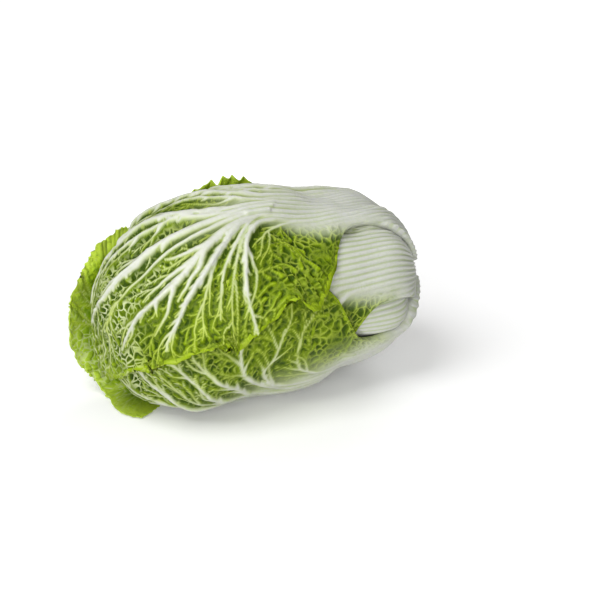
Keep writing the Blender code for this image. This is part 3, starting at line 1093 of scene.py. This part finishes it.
def lift_off_floor(mesh):
    """Keeps every point above what the head lies on."""
    points = np.empty(len(mesh.vertices) * 3, np.float32)
    mesh.vertices.foreach_get("co", points)
    points[2::3] = np.maximum(points[2::3], FLOOR_GAP)
    mesh.vertices.foreach_set("co", points)


def make_sheet(leaf, look, ribs, finish):
    """Makes one leaf, from its grid to a finished piece that stands for its solid."""
    across, along = np.linspace(-1, 1, look.across + 1), np.linspace(0, 1, look.along + 1)
    u, v = np.meshgrid(across, along, indexing="ij")
    places, near = sheet_places(leaf, u, v, look)
    leaf.grid = places[::4, ::4]  # what the leaves under this one will find over them
    out = outward(places)
    over, under = room_fields(leaf, places, out)
    fields = sheet_fields(leaf, look, *leaf_chart(leaf, u, v), near, over, under)
    name = leaf.name + "_sheet"
    made = add_object(name, closed_sheet(name, places, out, fields, look.ratio))
    net = draw_ribs(leaf, ribs, places)
    plain = shaped(made, net, look, finish)
    made.data = plain
    lift_off_floor(plain)
    plain.polygons.foreach_set("use_smooth", np.ones(len(plain.polygons), bool))
    plain.update()
    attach(made, "root")
    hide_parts(leaf.name)
    triangles = sum(len(p.vertices) - 2 for p in plain.polygons)
    print(leaf.name, "sheet:", triangles, "triangles,", len(net.runs), "ribs and branches")


print("a sheet is measured for room on", ROOM_CELLS, "by", ROOM_CELLS, "squares")

# %% [markdown]
# ## The finish of a leaf
# A leaf has few colours: white where the tissue is thick, pale yellow-green along the small
# veins, and green. The green is painted darker in the hollows and lighter on what stands above
# them, which is painted shade and painted light, and it is painted brighter at the edge, which is
# painted light for the glow through the thin edge. They are mixed by what the relief stored, so a
# rib is white just where it stands up. The order of the mixes is that of the tissue: green first,
# then the bright rim of painted light, the net, the branches, the haze by the stalk, and last the
# white of ribs and stalk, which gets faint streaks of its own and a darker green tint in the
# grooves where ridges meet, which is painted shade.
#
# Finer veins than the sheet can hold are a bump and a small change of colour, from one more
# pattern of cells. A little light passes through the skin of a leaf, so it has some subsurface
# scattering.

# %% Leaf finish
FINER = 2.6  # how many times smaller the cells of the last net are
BUMP_HEIGHT = 0.0006  # how high the bumps of that net look
STREAKS = (1.0, 0.08, 1.0)  # squeezes noise into streaks that run along the head


def new_finish(name):
    """A new material, its tree to add nodes to, and its shader."""
    material = bpy.data.materials.new(name)
    material.use_nodes = True
    return material, Nodes(material.node_tree), material.node_tree.nodes["Principled BSDF"]


def blend(a, b, share):
    """A plain colour between two others."""
    return (*((1 - share) * p + share * q for p, q in zip(a, b)), 1)


def leaf_finish(name, dark, light, edge, white, vein, roughness, rim=0.2, lines=1.0):
    """rim is how much of the edge's colour, a brighter green painted as light through the thin
    edge, the rim takes, and lines how plain the net is.
    """
    material, n, shader = new_finish(name)

    def found(attribute, out="Fac"):
        return n.add("ShaderNodeAttribute", {"attribute_name": attribute}, {}, out)

    spot = found("spot", "Vector")
    rib, white_rib, twig, far = (found(stored) for stored in ("rib", "white", "twig", "far"))
    stalk, near, tip, haze = (found(stored) for stored in ("stalk", "edge", "tip", "haze"))
    cavity = found("cavity")

    places = warped(n, spot)
    blotch, grain = n.noise(spot, 45.0, 3.0), n.noise(spot, 900.0, 2.0)
    wall = 1 - n.rise(n.to_wall(places, 1 / CELL), 0.02, 0.14)
    line = wall * far * (0.25 + 0.75 * patches(n, spot)) * lines
    fine = 1 - n.rise(n.to_wall(places, FINER / CELL), 0.03, 0.22)

    lightness = 0.20 + (blotch - 0.5) * 0.8 + fine * 0.12
    # Painted shade and painted light: the green is darker where the relief lies below its
    # surroundings and lighter where it stands above them.
    lightness = lightness - n.most(n.least(cavity, 1.0), -1.0) * 0.60
    green = n.mixed(lightness, (*dark, 1), (*light, 1))
    # Painted light: towards the edge the green turns to the brighter edge colour, for the light
    # that shines through the thin edge.
    green = n.mixed(n.rise(near, 0.5, 1.0) * rim, green, (*edge, 1))
    green = n.mixed(line * (0.42 + 0.4 * tip), green, (*vein, 1))
    green = n.mixed(n.most(twig * (0.5 + 0.4 * tip), rib * 0.8), green, (*vein, 1))
    green = n.mixed(haze * 0.6, green, blend(white, vein, 0.5))

    streak = n.noise(n.vector("MULTIPLY", spot, STREAKS), 420.0, 2.0)
    ivory = n.mixed(n.rise(streak, 0.42, 0.72) * 0.3, (*white, 1), blend(white, light, 0.4))
    # Painted shade: the white of ribs and stalk turns a darker green where it lies in a groove.
    ivory = n.mixed(n.rise(cavity, 0.0, 0.45) * 0.75, ivory, blend(white, light, 0.55))
    pale = n.most(n.most(white_rib * 0.96, n.most(twig, line) * tip * 0.6), stalk)
    n.put(shader.inputs["Base Color"], n.mixed(pale, green, ivory))
    n.put(shader.inputs["Roughness"], roughness + 0.12 * grain - 0.10 * pale)
    height = (line * 0.8 + fine * 0.3 + grain * 0.3) * (1 - 0.9 * pale) + streak * 0.25 * pale
    bump = {"Height": height, "Strength": 0.6, "Distance": BUMP_HEIGHT}
    n.put(shader.inputs["Normal"], n.add("ShaderNodeBump", {}, bump))
    for socket, value in (
        ("Subsurface Weight", 0.10), ("Subsurface Radius", (0.8, 1.0, 0.25)),
        ("Subsurface Scale", 0.003), ("IOR", 1.38), ("Specular IOR Level", 0.18),
    ):
        shader.inputs[socket].default_value = value
    return material


green_leaf = leaf_finish(
    "green leaf", (0.032, 0.066, 0.0003), (0.26, 0.375, 0.005), (0.30, 0.42, 0.012),
    (0.53, 0.54, 0.50), (0.46, 0.55, 0.080), 0.44,
)
# The collar's greens and its edge are lighter than those of the green leaf: painted light, for the
# light that shines through the thin outer leaf.
collar_leaf = leaf_finish(
    "collar leaf", (0.11, 0.22, 0.0003), (0.38, 0.56, 0.005), (0.60, 0.76, 0.080),
    (0.55, 0.58, 0.46), (0.46, 0.60, 0.035), 0.44, rim=0.5, lines=0.65,
)
heart_leaf = leaf_finish(
    "heart leaf", (0.62, 0.60, 0.16), (0.82, 0.78, 0.34), (0.80, 0.66, 0.18),
    (0.86, 0.86, 0.72), (0.86, 0.84, 0.55), 0.45,
)
print("leaf finishes of", len(green_leaf.node_tree.nodes), "nodes each")

# %% [markdown]
# ## The ribs that one knows it by
#
# The leaf over the front shows a fan of white ribs, and the leaf under it another. They are
# placed one by one, because they are what one knows this head by: each is a half width and then
# places across and up the flat leaf, all in millimetres. The thick ones come first, and the thin
# ones that run beside them after. The other leaves follow the rule of the fan.

# %% Ribs of the two front leaves
FRONT_RIBS = (
    (8.2, (3, 0), (12, 90), (26, 175), (20, 222), (8, 270), (4, 305), (-20, 345)),
    (7.4, (12, 0), (20, 100), (31, 180), (37, 214), (50, 262), (48, 300), (33, 350)),
    (6.2, (16, 0), (24, 110), (33, 190), (48, 218), (62, 249), (76, 290), (84, 340)),
    (6.0, (27, 0), (27, 110), (34, 165), (52, 195), (80, 206), (132, 205)),
    (3.2, (34, 0), (31, 105), (36, 150), (52, 178), (74, 190)),
    (4.0, (22, 0), (24, 110), (32, 178), (50, 205), (70, 224), (96, 246)),
    (7.6, (-5, 0), (4, 110), (18, 190), (2, 224), (-28, 256), (-43, 288), (-38, 335)),
    (4.8, (8, 0), (12, 120), (20, 200), (14, 216), (-4, 240), (-16, 268), (-30, 300), (-26, 350)),
    (6.2, (-13, 0), (-8, 100), (3, 170), (-18, 205), (-52, 238), (-78, 285), (-82, 345)),
    (5.6, (-21, 0), (-18, 95), (-12, 150), (-34, 186), (-74, 214), (-112, 262)),
    (3.6, (-29, 0), (-26, 90), (-22, 135), (-44, 166), (-80, 186), (-122, 206)),
    (
        3.0, (0, 0), (8, 100), (18, 176), (15, 206), (2, 232), (-14, 252), (-24, 272), (-36, 302),
        (-34, 340),
    ),
    (3.0, (-9, 0), (-2, 100), (10, 176), (-8, 208), (-38, 238), (-62, 272), (-66, 320)),
    (2.8, (-17, 0), (-13, 98), (-5, 160), (-24, 194), (-62, 226), (-94, 268), (-100, 320)),
    (3.4, (10, 0), (16, 96), (29, 176), (27, 216), (24, 250), (20, 290), (8, 340)),
    (2.6, (25, 0), (26, 110), (34, 170), (50, 199), (72, 214), (98, 224), (122, 236)),
    (2.8, (19, 0), (24, 112), (32, 184), (46, 212), (62, 234), (84, 262), (104, 286)),
)

UNDER_RIBS = (
    (5.6, (0, 0), (0, 150), (-6, 240), (-12, 275), (-14, 330)),
    (4.4, (-22, 0), (-19, 90), (-15, 150), (-26, 184), (-41, 192), (-57, 185), (-77, 179)),
    (4.8, (-15, 0), (-13, 100), (-11, 165), (-30, 197), (-47, 210), (-71, 215), (-95, 222)),
    (5.0, (-9, 0), (-7, 110), (-4, 170), (-12, 196), (-32, 214), (-48, 235), (-64, 268)),
    (5.0, (-4, 0), (-3, 120), (-1, 180), (-7, 204), (-23, 226), (-40, 250), (-52, 295)),
    (3.2, (-2, 0), (-1, 140), (-2, 200), (-10, 226), (-24, 256), (-32, 300)),
    (3.0, (-29, 0), (-25, 84), (-22, 130), (-36, 160), (-58, 166), (-80, 160)),
)

print(len(FRONT_RIBS), "ribs over the front and", len(UNDER_RIBS), "under it")

# %% [markdown]
# ## The leaves
#
# The three outermost leaves are what the head shows, so they get the finest sheets, and the edges
# of the first two are fitted one by one: the collar of the outermost stands up with a frilled
# top, and the front leaf has a notch near its foot. The next five show at the foot and through
# the gap at the waist, and the rest are shut in. They keep their ribs and their finish, on coarser
# sheets and without frills.

# %% Make the leaves
looks = {
    1: Look(  # the collar, with relief on its inside too
        204, 224, 1, scallop=0.0018, teeth=0.0008, frill=0.003, crimp=0.0015, waves=(11, 19, 27),
        rib=0.0020, branch=0.0012, hollow=0.0022, pucker=0.0016,
        trims=((-0.10, 0.32, 0.014), (-0.52, 0.30, 0.022), (0.60, 0.22, -0.003), (1.0, 0.2, 0.004)),
        cuts=(
            (1, 0.215, 0.045, 0.022), (1, 0.145, 0.025, 0.006), (-1, 0.262, 0.030, 0.014),
            (-1, 0.165, 0.035, 0.014),
        ),
        curls=((1, 0.136, 0.046, 0.0042),),
        flaps=(
            (-1, 1.0, 0.22, 0.06, (-0.004, -0.016, 0.0)),
            (1, 0.38, 0.30, 0.070, (0.016, 0.0, 0.0090)),
            (1, 0.54, 0.30, 0.065, (0.0, 0.0, 0.005)),
        ),
        flat_sides=((-1, 0.23),),
    ),
    2: Look(  # over the front, with the notch
        288, 318, 6, scallop=0.0048, teeth=0.0018, crimp=0.0014,
        cuts=((1, 0.180, 0.026, 0.046), (1, 0.330, 0.080, 0.018)), trims=((1.0, 0.45, 0.020),),
        curls=((1, 0.160, 0.030, 0.0012),),
    ),
    3: Look(252, 288, 6),
}
for leaf in leaves:
    if leaf.index in looks:
        look = looks[leaf.index]
    elif leaf.index <= GREEN_COUNT:
        look = Look(132, 156, 6, frill=0.0)
    else:
        look = Look(60, 72, 6, frill=0.0, rib=0.0012, branch=0.0005, hollow=0.0012)
    finish = green_leaf if leaf.index <= GREEN_COUNT else heart_leaf
    if leaf.index == 1:
        finish = collar_leaf
    ribs = fan(leaf)
    if leaf.index == 2:
        ribs = FRONT_RIBS
    if leaf.index == 3:
        ribs = UNDER_RIBS + tuple(rib for rib in ribs if rib[-1][0] > 10)
    make_sheet(leaf, look, ribs, finish)

# %% [markdown]
# ## The stem
#
# The cut foot of the head is a disc of pale wood that has begun to dry: cream in the middle, tan
# at its rim, with a faint ring and fibres. Its solid already has the right shape, so it keeps it
# and only gets a finish. The ring is a distance from the axis, and noise keeps it from being a
# true circle.

# %% Stem finish
def stem_finish():
    material, n, shader = new_finish("cut stem")
    places = n.add("ShaderNodeTexCoord", {}, {}, "Object")
    centre = {"Vector": places, "Location": (-cut_face, -axis_y, -AXIS_HEIGHT)}
    flat = n.vector("MULTIPLY", n.add("ShaderNodeMapping", {}, centre), (0.0, 1.0, 1.0))
    clouds, fibres = n.noise(places, 160.0, 4.0), n.noise(places, 900.0, 3.0)
    ring = n.rise(n.vector("LENGTH", flat) + (clouds - 0.5) * 0.006, 0.014, 0.024)
    colour = n.mixed(clouds, (0.78, 0.72, 0.50, 1), (0.86, 0.82, 0.64, 1))
    colour = n.mixed(ring * 0.8, colour, (0.50, 0.36, 0.16, 1))
    colour = n.mixed(n.rise(fibres, 0.5, 0.75) * 0.4, colour, (0.40, 0.28, 0.12, 1))
    n.put(shader.inputs["Base Color"], colour)
    n.put(shader.inputs["Roughness"], 0.62 + 0.2 * fibres)
    bump = {"Height": fibres + clouds, "Strength": 0.5, "Distance": 0.001}
    n.put(shader.inputs["Normal"], n.add("ShaderNodeBump", {}, bump))
    shader.inputs["Subsurface Weight"].default_value = 0.1
    shader.inputs["Subsurface Scale"].default_value = 0.003
    return material


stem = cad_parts["stem"]
stem.data.materials.clear()
stem.data.materials.append(stem_finish())
print(f"the stem is {stem.dimensions.y:.3f} m across")

# %% [markdown]
# ## Floor and backdrop
#
# The head lies on a white sweep, which leaves only a pale shadow beneath it. A lit floor alone
# comes out grey, or burns out the leaves before it turns white. So a clear disc lies on it with a
# little light of its own, more of it further away, and a wall that glows stands far behind. Both
# are hidden from every ray but those of the camera, so neither lights the head nor takes its
# shadow away.

# %% Floor and backdrop
NEAR_GLOW, FAR_GLOW = 0.14, 0.75  # the light that the disc adds, close to the head and far from it
FLOOR_RADIUS, WALL_RADIUS, WALL_HEIGHT = 16.0, 15.0, 12.0


def plain_finish(name, colour, glow=0.0):
    material, _, shader = new_finish(name)
    shader.inputs["Base Color"].default_value = (*colour, 1)
    shader.inputs["Roughness"].default_value = 0.9
    shader.inputs["Emission Color"].default_value = (1, 1, 1, 1)
    shader.inputs["Emission Strength"].default_value = glow
    return material


def glow_finish():
    """Clear, with a little light of its own."""
    material, n, _ = new_finish("glow")
    clear = n.add("ShaderNodeBsdfTransparent")
    away = n.vector("LENGTH", n.add("ShaderNodeTexCoord", {}, {}, "Object"))
    near, far = ((*[glow] * 3, 1) for glow in (NEAR_GLOW, FAR_GLOW))
    light = n.add("ShaderNodeEmission", {}, {"Color": n.mixed(n.rise(away, 0.15, 0.9), near, far)})
    both = n.add("ShaderNodeAddShader", {}, {0: clear, 1: light})
    n.put(material.node_tree.nodes["Material Output"].inputs["Surface"], both)
    return material


def add_stage(name, form, material):
    """Makes a form part of the stage, not of the head."""
    mesh = bpy.data.meshes.new(name)
    form.to_mesh(mesh)
    form.free()
    mesh.materials.append(material)
    made = add_object(name, mesh)
    made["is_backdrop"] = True
    return made


def disc(height):
    form = bmesh.new()
    bmesh.ops.create_circle(form, cap_ends=True, segments=64, radius=FLOOR_RADIUS)
    bmesh.ops.translate(form, verts=form.verts, vec=(0, 0, height))
    return form


def tube():
    form = bmesh.new()
    bmesh.ops.create_cone(
        form, segments=64, radius1=WALL_RADIUS, radius2=WALL_RADIUS, depth=WALL_HEIGHT
    )
    return form


add_stage("floor", disc(0.0), plain_finish("white sweep", (0.86, 0.86, 0.86)))
glow = add_stage("glow", disc(0.00005), glow_finish())
wall = add_stage("backdrop", tube(), plain_finish("white wall", (0.0, 0.0, 0.0), glow=1.0))
for made in (glow, wall):
    made.visible_diffuse = made.visible_glossy = False
    made.visible_shadow = made.visible_transmission = False

# %% [markdown]
# ## Light
#
# The light is that of a plain studio. A broad disc overhead models the ribs, a larger and weaker
# one in front opens the shadows under the head, and a third behind it keeps the back from going
# dull. The sky adds an even share, so no hollow is black.

# %% Lights
def add_light(name, size, power, place, aim):
    lamp = bpy.data.lights.new(name, "AREA")
    lamp.shape = "DISK"
    lamp.size = size
    lamp.energy = power
    made = add_object(name, lamp)
    made.location = place
    made.rotation_euler = (Vector(aim) - Vector(place)).to_track_quat("-Z", "Y").to_euler()


add_light("key", 0.9, 15.5, (-0.80, -0.30, 1.30), (0, 0, 0.06))
add_light("fill", 1.2, 23.0, (-0.9, -1.4, 0.35), (0, 0, 0.06))
add_light("rim", 1.0, 7.0, (1.1, 1.0, 1.0), (0, 0, 0.08))
world = bpy.data.worlds.new("studio")
world.use_nodes = True
world.node_tree.nodes["Background"].inputs["Color"].default_value = (1, 1, 1, 1)
world.node_tree.nodes["Background"].inputs["Strength"].default_value = 0.32
bpy.context.scene.world = world
bpy.context.scene.view_settings.view_transform = "Standard"
print(sum(lamp.energy for lamp in bpy.data.lights), "watts in", len(bpy.data.lights), "lamps")

# %% [markdown]
# ## Camera
#
# The camera looks down on the head from the side, with the tip towards it. It stands at a
# distance from the middle of the tip, along a direction given by two angles, and is then aimed a
# little to the right of the tip, which puts the head left of the middle of the frame.

# %% Camera
AZIMUTH, ELEVATION = math.radians(-25), math.radians(20)
DISTANCE = 1.09  # from the middle of the tip
ASIDE, ABOVE = 0.087, 0.0015  # where it aims, from there

flat = math.cos(ELEVATION)
toward = np.array((-math.sin(AZIMUTH) * flat, math.cos(AZIMUTH) * flat, -math.sin(ELEVATION)))
right = np.array((math.cos(AZIMUTH), math.sin(AZIMUTH), 0.0))
tip_middle = np.array((cut_face - BASE_CENTRE - TRUNK_LENGTH, axis_y, AXIS_HEIGHT))
eye = tip_middle - DISTANCE * toward
look_at = tip_middle + ASIDE * right + (0, 0, ABOVE)
lens = bpy.data.cameras.new("camera")
lens.lens = 85
camera = add_object("camera", lens)
camera.location = eye
camera.rotation_euler = Vector(look_at - eye).to_track_quat("-Z", "Y").to_euler()
bpy.context.scene.camera = camera
print(f"the camera stands {np.linalg.norm(eye - look_at):.3f} m off")

# %% [markdown]
# ## Sizes
#
# The box of the finished head and that of its solids are both found and compared, and how far
# the head goes past its solids is printed. The finished head may not grow past its solids by
# more than the fullness of a leaf.

boxes = {"cad": [list(c) for c in cad_box], "visual": [list(c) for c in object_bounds()]}
(cad_low, cad_high), (low, high) = boxes["cad"], boxes["visual"]
past = [max(c - a, b - d, 0) for a, b, c, d in zip(low, high, cad_low, cad_high)]
print("past the box of the solids by", [round(1000 * way, 1) for way in past], "mm")
